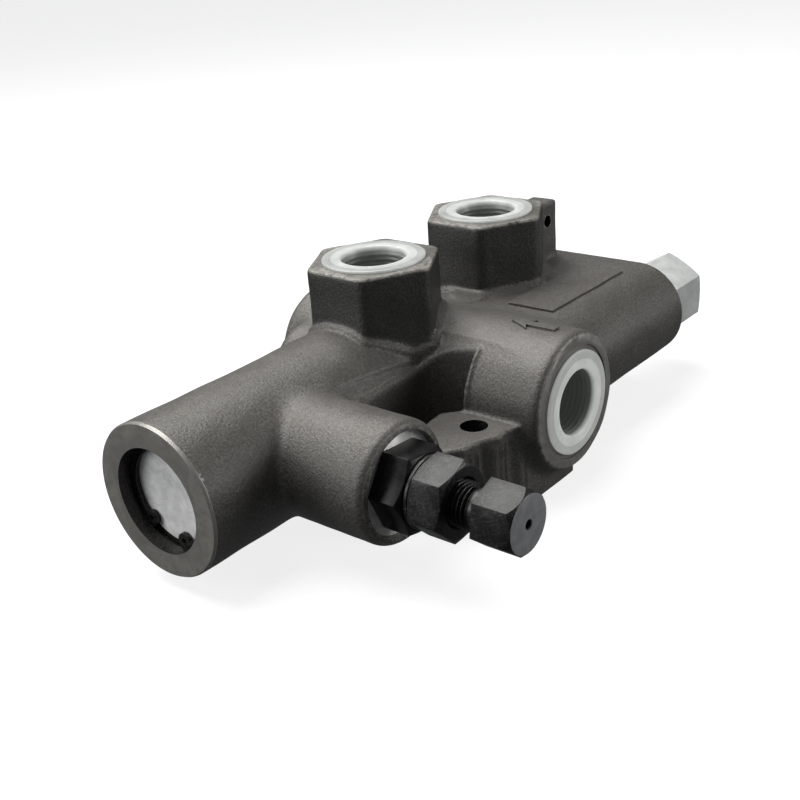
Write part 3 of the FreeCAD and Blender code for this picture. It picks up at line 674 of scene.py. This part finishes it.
def machineCasting(piece):
    s = castSizes
    axis = s["axisZ"]

    def trim(name, low, high):
        x0, y0, z0 = low
        x1, y1, z1 = high
        combine(piece, prismPiece(name, [(x0, y0), (x1, y0), (x1, y1), (x0, y1)], z0, z1), "DIFFERENCE")

    def drill(name, points, at, along, radius=0.0):
        combine(piece, placeMesh(turnedPiece(name, points, radius, 128), at, along), "DIFFERENCE")

    # saw the stock off every machined face
    trim("noseCut", (-130, -60, -20), (s["noseX"], 60, 90))
    trim("farCut", (s["blockEnd"], -90, -20), (160, 60, 90))
    trim("sideCut", (-60, -110, -20), (130, s["sideFace"], 90))
    trim("hexCut", (-20, -40, s["hexTop"]), (110, 40, 100))
    trim("footCut", (-120, -110, -20), (160, 100, 0))
    drill("backCut", [(0, 0), (23.4, 0), (23.4, 10), (0, 10)], (s["sideX"], s["backFace"], axis), "+Y")
    drill("reliefCut", [(0, 0), (26, 0), (26, 10), (0, 10)], (s["reliefX"], s["reliefFace"], axis), "-Y")

    # raised arrow and name panel: the same skin lifted a little and cut to their outlines
    for name, outline in (("arrow", arrowOutline), ("namePanel", panelOutline)):
        lifted = prismPiece(name, outline, 35, 60)
        skin = bpy.data.objects.new("skin", piece.data.copy())
        bpy.context.scene.collection.objects.link(skin)
        skin.data.transform(Matrix.Translation((0, 0, s["raised"] * mm)))
        combine(lifted, skin, "INTERSECT")
        combine(piece, lifted, "UNION")

    # bores
    nose = (s["noseX"], 0, axis)
    drill("mainBore", [(0, -2), (17.15, -2), (17.15, 4.5), (18.35, 4.5), (18.35, 6.3), (17.15, 6.3), (17.15, 15.6),
                       (15.5, 15.6), (15.5, 53.6), (12.5, 53.6), (12.5, 187.75), (0, 187.75)], nose, "+X")
    drill("noseChamfer", [(23.9, -1), (26.5, -1), (26.5, 1.35), (25.4, 1.35)], nose, "+X")
    second = (s["blockEnd"], s["secondY"], axis)
    drill("capBore", [(0, -70), (9, -70), (9, -14.75), (10, -14.75), (10, -2.2), (12.4, -2.2), (12.4, 2), (0, 2)],
          second, "+X")
    reliefFace = -s["reliefFace"]
    drill("reliefBore", [(0, 24.5 - reliefFace), (8.5, 24.5 - reliefFace), (8.5, 34 - reliefFace),
                         (11, 34 - reliefFace), (11, -2.5), (16.3, -2.5), (16.7, 2), (0, 2)],
          (s["reliefX"], s["reliefFace"], axis), "-Y")
    thread = [(12.1 + 0.75 * (k % 2), -16 + 0.9 * k) for k in range(17)]
    portCut = [(0, -30), (9, -30), (9, -17)] + thread + [(12.1, -1.2), (13.3, 0), (13.3, 2), (0, 2)]
    topPorts = [((at, 0, s["hexTop"]), "+Z") for at in s["portsX"]]
    crossPorts = [((s["sideX"], s["sideFace"], axis), "-Y"), ((s["sideX"], s["backFace"], axis), "+Y")]
    for number, (at, along) in enumerate(topPorts + crossPorts):
        drill(f"port{number}", portCut, at, along)
    for at, along in crossPorts:
        drill("portSeat", [(0, -0.45), (19.4, -0.45), (19.7, 1), (0, 1)], at, along)
    for side in (-1, 1):
        r = s["holeRadius"]
        drill("boltHole", [(0, -5), (r, -5), (r, 40), (0, 40)], (0, side * s["holeY"], 0), "+Z")
    r = s["lugHoleRadius"]
    drill("lugHole", [(0, -2), (r, -2), (r, 14), (0, 14)], (s["lugHoleX"], 2, s["lugHoleZ"]), "-Y")
    return piece


def markRims(piece):
    # how close each point is to a corner left by a saw or mill, as an attribute the finishes use
    s = castSizes
    mesh = piece.data
    points = np.empty(len(mesh.vertices) * 3, np.float32)
    mesh.vertices.foreach_get("co", points)
    x, y, z = (points.reshape(-1, 3) / mm).T
    up = z - s["axisZ"]
    rim = np.zeros(len(x), np.float32)
    for at in s["portsX"]:
        edge = np.abs(fieldHex(x - at, y, z * 0, -50, 50, 2.2, 0.3))
        rim = np.maximum(rim, 1 - np.hypot(edge, s["hexTop"] - z) / 1.3)
    fromSide = np.hypot(x - s["sideX"], up)
    rings = [(fromSide, y - s["sideFace"], 22.8), (np.hypot(x - s["reliefX"], up), y - s["reliefFace"], 18.6),
             (fromSide, y - s["backFace"], 22.8), (np.hypot(y, up), x - s["noseX"], 25.0)]
    for distance, along, radius in rings:
        rim = np.maximum(rim, 0.85 - np.hypot(distance - radius, along) / 1.3)
    padEdge = np.abs(fieldOutline(x, y, z, frontPadOutline, -90, 90, 0.0))
    rim = np.maximum(rim, 0.7 - np.hypot(padEdge, z - s["padTop"]) / 1.4)
    store = mesh.attributes.new("rim", "FLOAT", "POINT")
    store.data.foreach_set("value", np.clip(rim, 0, 1).astype(np.float32))


def paintCasting(piece):
    # 0 cast skin, 1 cut faces, 2 turned relief seat, 3 insides of bores in painted shade, 4 hexagon walls in painted
    # shade
    s = castSizes
    mesh = piece.data
    count = len(mesh.polygons)
    centre = np.empty(count * 3, np.float32)
    normal = np.empty(count * 3, np.float32)
    mesh.polygons.foreach_get("center", centre)
    mesh.polygons.foreach_get("normal", normal)
    x, y, z = (centre.reshape(-1, 3) / mm).T
    nx, ny, nz = normal.reshape(-1, 3).T
    up = z - s["axisZ"]
    slot = np.zeros(count, np.int32)
    cutFaces = [
        (np.abs(x - s["noseX"]) < 0.02), (np.abs(x - s["blockEnd"]) < 0.02),
        (np.abs(z) < 0.02), (y < s["sideFace"] + 0.5) & (ny < -0.9), (np.abs(y - s["backFace"]) < 0.5) & (ny > 0.9),
        (x < s["noseX"] + 1.5) & (np.hypot(y, up) > 17.5),
    ]
    for chosen in cutFaces:
        slot[chosen] = 1
    fromRelief = np.hypot(x - s["reliefX"], up)
    slot[(y < -53.3) & (y > -53.7) & (fromRelief < 16.6)] = 2
    slot[(y < -53.4) & (fromRelief < 16.75) & (y > -56.2) & (slot != 2)] = 1
    fromSide = np.hypot(x - s["sideX"], up)
    # painted shade: the insides of bores and holes take the near-black bore finish
    inside = [
        (np.hypot(y, up) < 18.4) & (x < s["noseX"] + 60) & (x > s["noseX"] + 0.01),
        (np.hypot(y - s["secondY"], up) < 12.5) & (x < s["blockEnd"] - 0.01) & (x > 50),
        (fromRelief < 11.2) & (y < -20) & (y > -53.4),
        (fromSide < 13.4) & ((y < -30) | (y > 20)) & (np.abs(ny) < 0.95),
        (np.hypot(x, np.abs(y) - s["holeY"]) < 4.7) & (np.abs(nz) < 0.9),
        (np.hypot(x - s["lugHoleX"], z - s["lugHoleZ"]) < s["lugHoleRadius"] + 0.1) & (np.abs(ny) < 0.5),
    ]
    for at in s["portsX"]:
        inside.append((np.hypot(x - at, y) < 13.4) & (z > 40) & (nz < 0.95))
    for chosen in inside:
        slot[chosen] = 3
    # painted shade: the hexagon walls take the darker copy of the cast skin
    for at in s["portsX"]:
        onWall = (np.abs(fieldHex(x - at, y, z * 0, -50, 50, 2.2, 0.3)) < 0.6) & (np.abs(nz) < 0.35) & (z > 40)
        slot[onWall & (slot == 0)] = 4
    mesh.materials.clear()
    for material in (castSkinLook, castMachinedLook, spotFaceLook, boreShadeLook, castHexShadeLook):
        mesh.materials.append(material)
    mesh.polygons.foreach_set("material_index", slot)
    mesh.update()


castBody = machineCasting(roughCasting())
paintCasting(castBody)
markRims(castBody)
smoothShade(castBody, 38)
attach(castBody, "root")
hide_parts("valve_body")
print("casting machined:", len(castBody.data.polygons), "faces")


# the closed nose of the main bore
discSizes = {"front": -82.85, "radius": 17.1}


def makeClosureDisc():
    s = discSizes
    r = s["radius"]
    points = [(0, 0.12), (6.0, 0.08), (12.0, 0.0), (r - 0.7, 0.0), (r, 0.7), (r, 3), (14.6, 3), (14.6, 5.8), (r, 5.8),
              (r, 9.2), (6, 9.2), (6, 11.5), (0, 11.5)]
    piece = placeMesh(turnedPiece("closureDisc", points, 0.2, 128), (s["front"], 0, 30), "+X")
    return finishPiece(piece, [discZinc], "root", "end_plug")


ringSizes = {"back": -84.55, "outer": 18.15, "inner": 15.4, "thickness": 1.4, "gapCentre": 14.5, "gapHalf": 21.0,
             "earRadius": 2.4, "earAt": 15.0, "earAngle": 28.5, "earHole": 0.9}


def makeSnapRing():
    s = ringSizes
    steps = 90
    first, sweep = s["gapCentre"] + s["gapHalf"], 360 - 2 * s["gapHalf"]
    angles = [math.radians(first + sweep * k / steps) for k in range(steps + 1)]
    outline = [(s["outer"] * math.cos(a), s["outer"] * math.sin(a)) for a in angles]
    for k, a in reversed(list(enumerate(angles))):
        inner = s["inner"] - 0.9 * math.sin(math.pi * k / steps)  # widest opposite the gap
        outline.append((inner * math.cos(a), inner * math.sin(a)))
    ring = prismPiece("snapRing", outline, 0, s["thickness"])
    for side in (-1, 1):
        angle = math.radians(s["gapCentre"] + side * s["earAngle"])
        at = (s["earAt"] * math.cos(angle), s["earAt"] * math.sin(angle), 0)
        blank = [(0, 0), (s["earRadius"], 0), (s["earRadius"], s["thickness"]), (0, s["thickness"])]
        ear = turnedPiece("ear", blank, 0, 32)
        combine(ring, placeMesh(ear, at, "+Z"), "UNION")
        hole = turnedPiece("earHole", [(0, -1), (s["earHole"], -1), (s["earHole"], 3), (0, 3)], 0, 24)
        combine(ring, placeMesh(hole, at, "+Z"), "DIFFERENCE")
    placeMesh(softEdges(ring, 0.15), (s["back"], 0, 30), "+X")
    return finishPiece(ring, [ringBlackLook], "root", "retaining_ring")


# the zinc cap of the second barrel
capSizes = {"flats": 27.0, "length": 26.5, "face": 121.75, "offset": -43.8, "chamferRadius": 13.6}


def hexWithChamfer(name, flats, low, high, frontRadius, backRadius=None, tilt=28):
    # a hexagon bar cut by a turned shape, so the chamfer leaves arcs on the flats
    corner = flats / math.sqrt(3)
    body = prismPiece(name, hexOutline(flats), low, high)
    slope = math.tan(math.radians(tilt))
    front = high - (corner + 0.4 - frontRadius) * slope
    points = [(0, low - 1), (corner + 0.4, low - 1), (corner + 0.4, front), (frontRadius, high), (0, high)]
    if backRadius:
        back = low + (corner + 0.4 - backRadius) * slope
        points = [(0, low), (backRadius, low), (corner + 0.4, back)] + points[2:]
    return combine(body, turnedPiece("chamfer", points, 0.0, 128), "INTERSECT")


def makeZincCap():
    s = capSizes
    cap = hexWithChamfer("zincCap", s["flats"], 0, s["length"], s["chamferRadius"])
    softEdges(cap, 0.45, 3)
    shank = [(0, -20.75), (8.9, -20.75), (8.9, -12.75), (9.95, -12.5), (9.95, 0.6), (0, 0.6)]
    combine(cap, turnedPiece("capShank", shank, 0.3), "UNION")
    placeMesh(cap, (s["face"], s["offset"], 30), "+X")
    return finishPiece(cap, [capZinc], "root", "check_cap")


# the relief cartridge with its lock nut and adjusting screw; heights run outwards from the main axis
reliefSizes = {"x": -42.25, "cartridgeFlats": 24.0, "spotFace": 53.5, "hexEnd": 64.2, "hexSpin": 55.0,
               "nutFlats": 22.0, "nutLow": 65.5, "nutHigh": 77.0, "nutSpin": 15.3,
               "headFlats": 18.0, "headLow": 86.0, "headHigh": 99.0, "headSpin": 20.4,
               "screwRadius": 6.98, "threadDepth": 0.92, "pitch": 1.5, "threadLow": 56.6, "threadHigh": 82.6}


def onReliefAxis(piece, spin=0.0):
    return placeMesh(piece, (reliefSizes["x"], 0, 30), "-Y", spin)


def makeCartridge():
    s = reliefSizes
    body = hexWithChamfer("reliefCartridge", s["cartridgeFlats"], s["spotFace"], s["hexEnd"], 11.7)
    softEdges(body, 0.3, 2)
    shank = [(0, 24.5), (7.4, 24.5), (8.45, 25.5), (8.45, 34.1), (10.95, 34.4), (10.95, 50.55), (9.2, 50.55),
             (9.2, 52.45), (10.95, 52.45), (10.95, 54.0), (0, 54.0)]
    spin = Matrix.Rotation(math.radians(s["hexSpin"]), 4, "Z")
    body.data.transform(spin)
    combine(body, turnedPiece("cartridgeShank", shank, 0.15), "UNION")
    hollow = [(0, 20), (6.2, 20), (6.2, 50), (7.05, 50), (7.05, 63.4), (8.0, 65), (0, 65)]
    combine(body, turnedPiece("cartridgeHollow", hollow, 0.0), "DIFFERENCE")
    onReliefAxis(body)
    # painted shade: the cartridge takes the darker black oxide
    return finishPiece(body, [shadedBlackLook], "root", "relief_cartridge")


def makeLockNut():
    s = reliefSizes
    nut = hexWithChamfer("lockNut", s["nutFlats"], s["nutLow"], s["nutHigh"], 10.75, 10.75)
    softEdges(nut, 0.28, 2)
    hole = [(0, 60), (7.7, 60), (7.7, s["nutLow"]), (7.05, s["nutLow"] + 0.8), (7.05, s["nutHigh"] - 0.9),
            (7.9, s["nutHigh"]), (7.9, 80), (0, 80)]
    combine(nut, turnedPiece("nutHole", hole, 0.0), "DIFFERENCE")
    onReliefAxis(nut, s["nutSpin"])
    return finishPiece(nut, [blackLook], "lock_nut", "lock_nut")


def makeLockWasher():
    washer = onReliefAxis(turnedPiece("lockWasher", [(7.4, 64.2), (11.3, 64.2), (11.3, 65.5), (7.4, 65.5)], 0.3))
    return finishPiece(washer, [blackLook], "lock_washer", "lock_washer")


def threadPiece(name, low, high, radius, depth, pitch):
    # a right-hand helical thread as one wavy skin, closed at both ends
    turns, perPitch = 72, 10
    rows = int((high - low) / pitch * perPitch) + 1
    verts = [(0, 0, low * mm), (0, 0, high * mm)]
    for i in range(rows):
        height = low + (high - low) * i / (rows - 1)
        runOut = min(1.0, (height - low) / pitch, (high - height) / (0.6 * pitch))
        for k in range(turns):
            phase = (height / pitch + k / turns) % 1.0
            crest = min(1.0, max(0.0, 1.45 - 3.1 * abs(phase - 0.5) * 1.25))
            r = radius - depth + depth * crest * max(runOut, 0.0)
            angle = 2 * math.pi * k / turns
            verts.append((r * mm * math.cos(angle), r * mm * math.sin(angle), height * mm))
    faces = []
    for k in range(turns):
        n = (k + 1) % turns
        faces.append((0, 2 + n, 2 + k))
        top = 2 + (rows - 1) * turns
        faces.append((1, top + k, top + n))
        for i in range(rows - 1):
            base = 2 + i * turns
            faces.append((base + k, base + n, base + turns + n, base + turns + k))
    return makeObject(name, verts, faces)


def makeAdjustScrew():
    s = reliefSizes
    screw = hexWithChamfer("adjustScrew", s["headFlats"], s["headLow"], s["headHigh"], 8.85, None, 48)
    softEdges(screw, 0.3, 2)
    thread = threadPiece("screwThread", s["threadLow"], s["threadHigh"], s["screwRadius"], s["threadDepth"],
                         s["pitch"])
    combine(screw, thread, "UNION")
    inner = s["screwRadius"] - s["threadDepth"] - 0.15
    tail = [(0, 50), (5.9, 50), (5.9, 51.6), (4.5, 51.6), (4.5, 53.6), (5.9, 53.6), (5.9, 57.4), (0, 57.4)]
    neck = [(0, s["threadHigh"] - 1), (inner, s["threadHigh"] - 1), (6.15, s["threadHigh"] + 0.2),
            (6.35, s["headLow"] - 0.3), (7.4, s["headLow"] + 0.3), (0, s["headLow"] + 0.3)]
    for points in (tail, neck):
        combine(screw, turnedPiece("screwPart", points, 0.2), "UNION")
    dimple = [(r, s["headHigh"] + rise) for r, rise in
              ((0, -3), (1.3, -2.2), (1.3, -0.3), (1.7, 0.1), (1.7, 1), (0, 1))]
    combine(screw, turnedPiece("dimple", dimple, 0.0, 32), "DIFFERENCE")
    onReliefAxis(screw, s["headSpin"])
    looks = [blackLook, screwFaceLook, shadedBlackLook]
    finishPiece(screw, looks, "adjusting_screw", "adjusting_screw", 40)
    # 0 hexagon and neck, 1 faced end, 2 thread in the darker painted-shade black
    for face in screw.data.polygons:
        out = -face.center.y / mm
        if out > s["headHigh"] - 0.05:
            face.material_index = 1
        elif out <= s["threadHigh"] + 0.4:
            face.material_index = 2
    return screw


# shipping plugs
plugSizes = {"depth": 14.0, "flange": 17.8, "thick": 1.0, "wall": 12.0, "hollow": 11.1, "floor": 1.5, "ribs": 6}


def makeShippingPlug(name, node, at, along):
    s = plugSizes
    top = s["depth"] + s["thick"]
    ribs = []
    for k in range(2 * s["ribs"] + 1):
        height = top - 2.2 - (top - 2.2 - s["floor"] - 0.8) * k / (2 * s["ribs"])
        ribs.append((s["hollow"] - 0.45 * (k % 2), height))
    points = [(0, 0), (s["wall"] - 0.6, 0), (s["wall"], 2), (s["wall"], s["depth"]), (s["flange"], s["depth"]),
              (s["flange"], top - 0.15), (s["flange"] - 0.7, top), (15.2, top - 0.05), (14.5, top - 0.12),
              (12.6, top),
              (s["hollow"] + 0.35, top - 0.25)] + ribs + [(s["hollow"] - 0.2, s["floor"]), (0, s["floor"])]
    plug = turnedPiece(name, points, 0.22, 128)
    depth = plug.data.attributes.new("wallDepth", "FLOAT", "POINT")
    values = [min(1.0, max(0.0, (top - 0.6 - v.co.z / mm) / 5.0)) for v in plug.data.vertices]
    depth.data.foreach_set("value", values)
    ring = plug.data.attributes.new("mouthRing", "FLOAT", "POINT")
    ring.data.foreach_set("value", [float(math.hypot(v.co.x, v.co.y) < 14.9 * mm) for v in plug.data.vertices])
    placeMesh(plug, at, along)
    return finishPiece(plug, [plasticLook], node, node, 50)


makeClosureDisc()
makeSnapRing()
makeZincCap()
makeCartridge()
makeLockNut()
makeLockWasher()
makeAdjustScrew()
print("cap and relief pieces ready")

depth = plugSizes["depth"]
makeShippingPlug("nearPlug", "near_port_plug", (15.25, 0, castSizes["hexTop"] - depth), "+Z")
makeShippingPlug("farPlug", "far_port_plug", (81.15, 0, castSizes["hexTop"] - depth), "+Z")
makeShippingPlug("sidePlug", "side_port_plug", (castSizes["sideX"], castSizes["sideFace"] + depth, 30), "-Y")
makeShippingPlug("backPlug", "back_port_plug", (castSizes["sideX"], castSizes["backFace"] - depth, 30), "+Y")
print("shipping plugs ready")


# the hidden pieces keep their shape and get their finish
springWire = groundSteel("springWire", (0.33, 0.33, 0.34), 0.32)
hardSteel = groundSteel("hardSteel", (0.56, 0.56, 0.57), 0.22)
sealRubber = nitrileRubber()
hiddenFinish = {
    hardSteel: ("main_spool", "spring_seat", "check_poppet", "relief_seat", "relief_poppet", "spring_button"),
    sealRubber: ("end_plug_o_ring", "check_cap_o_ring", "cartridge_o_ring", "screw_o_ring"),
}
for material, names in hiddenFinish.items():
    for name in names:
        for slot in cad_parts[name].material_slots:
            slot.material = material

# each coil's CAD node, the two bodies it pushes apart and its two ends; only the node is read, and the coil is copied
# as it stands
coilSizes = {
    "spoolCoil": {"node": "spool_spring", "bodies": ("root", "spool"), "ends": ((-72.2, 0, 30), (-39.5, 0, 30))},
    "checkCoil": {"node": "check_spring", "bodies": ("check_poppet", "root"),
                  "ends": ((64, -43.8, 30), (100, -43.8, 30))},
    "reliefCoil": {"node": "relief_spring", "bodies": ("root", "spring_button"),
                   "ends": ((-42.25, -34.9, 30), (-42.25, -46.4, 30))},
}


def makeCoil(name, sizes):
    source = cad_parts[sizes["node"]]
    coil = bpy.data.objects.new(name, source.data.copy())
    bpy.context.scene.collection.objects.link(coil)
    coil.matrix_world = source.matrix_world.copy()
    coil.data.materials.clear()
    coil.data.materials.append(springWire)
    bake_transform(coil)
    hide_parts(sizes["node"])


for name, sizes in coilSizes.items():
    makeCoil(name, sizes)
print("inner pieces dressed")


# floor, light and camera, in metres and watts
studioSizes = {
    "floorHalf": 12.0, "floorGlow": 0.85, "middle": (0.02, -0.01, 0.03), "skyTint": (0.75, 0.77, 0.8, 1),
    "skyStrength": 0.16, "lens": 51.03, "sensor": 36.0, "cameraAt": (-0.26275, -0.24775, 0.18825),
    "cameraRight": (0.6287, -0.7744, -0.0711), "cameraUp": (0.3597, 0.2085, 0.9095),
    "cameraForward": (0.6894, 0.5974, -0.4097),
}
# name: place, width, depth, power
studioLights = {
    "overhead": ((0.0, 0.33, 0.87), 1.0, 0.8, 16),
    "leftSide": ((-0.75, 0.5, 0.3), 0.4, 0.35, 3.3),
    "frontFill": ((0.55, -0.82, 0.28), 0.4, 0.3, 3.5),
}


def makeFloor():
    size = studioSizes["floorHalf"]
    corners = [(-size, -size, 0), (size, -size, 0), (size, size, 0), (-size, size, 0)]
    floor = makeObject("floor", corners, [(0, 1, 2, 3)])
    material, tree, shader = startMaterial("paleFloor", Roughness=0.9)
    place = addNode(tree, "ShaderNodeTexCoord").outputs["Object"]
    noise = addNode(tree, "ShaderNodeTexNoise", {"Vector": place, "Scale": 40.0, "Detail": 3.0})
    tone = mixColour(tree, noise.outputs["Fac"], (0.95, 0.95, 0.95), (0.98, 0.98, 0.98))
    tree.links.new(mixColour(tree, 0.75, tone, (0.0, 0.0, 0.0)), shader.inputs["Base Color"])
    tree.links.new(tone, shader.inputs["Emission Color"])
    shader.inputs["Emission Strength"].default_value = studioSizes["floorGlow"]
    floor.data.materials.append(material)
    floor.visible_diffuse = False
    floor.visible_glossy = False


def makeLight(name, at, width, depth, power):
    data = bpy.data.lights.new(name, "AREA")
    data.shape = "RECTANGLE"
    data.size, data.size_y = width, depth
    data.energy = power
    light = bpy.data.objects.new(name, data)
    light.location = at
    light.rotation_euler = (Vector(studioSizes["middle"]) - Vector(at)).to_track_quat("-Z", "Y").to_euler()
    bpy.context.scene.collection.objects.link(light)


def makeCamera():
    s = studioSizes
    data = bpy.data.cameras.new("studioCamera")
    data.lens = s["lens"]
    data.sensor_width = s["sensor"]
    data.clip_start = 0.01
    camera = bpy.data.objects.new("studioCamera", data)
    back = tuple(-v for v in s["cameraForward"])
    turn = Matrix((s["cameraRight"], s["cameraUp"], back)).transposed().to_4x4()
    camera.matrix_world = Matrix.Translation(s["cameraAt"]) @ turn
    bpy.context.scene.collection.objects.link(camera)
    bpy.context.scene.camera = camera


makeFloor()
for name, (at, width, lightDepth, power) in studioLights.items():
    makeLight(name, at, width, lightDepth, power)
world = bpy.data.worlds.new("studio")
bpy.context.scene.world = world
world.use_nodes = True
sky = world.node_tree.nodes["Background"].inputs
sky["Color"].default_value = studioSizes["skyTint"]
sky["Strength"].default_value = studioSizes["skyStrength"]
bpy.context.scene.view_settings.view_transform = "Standard"
makeCamera()
print("studio ready")
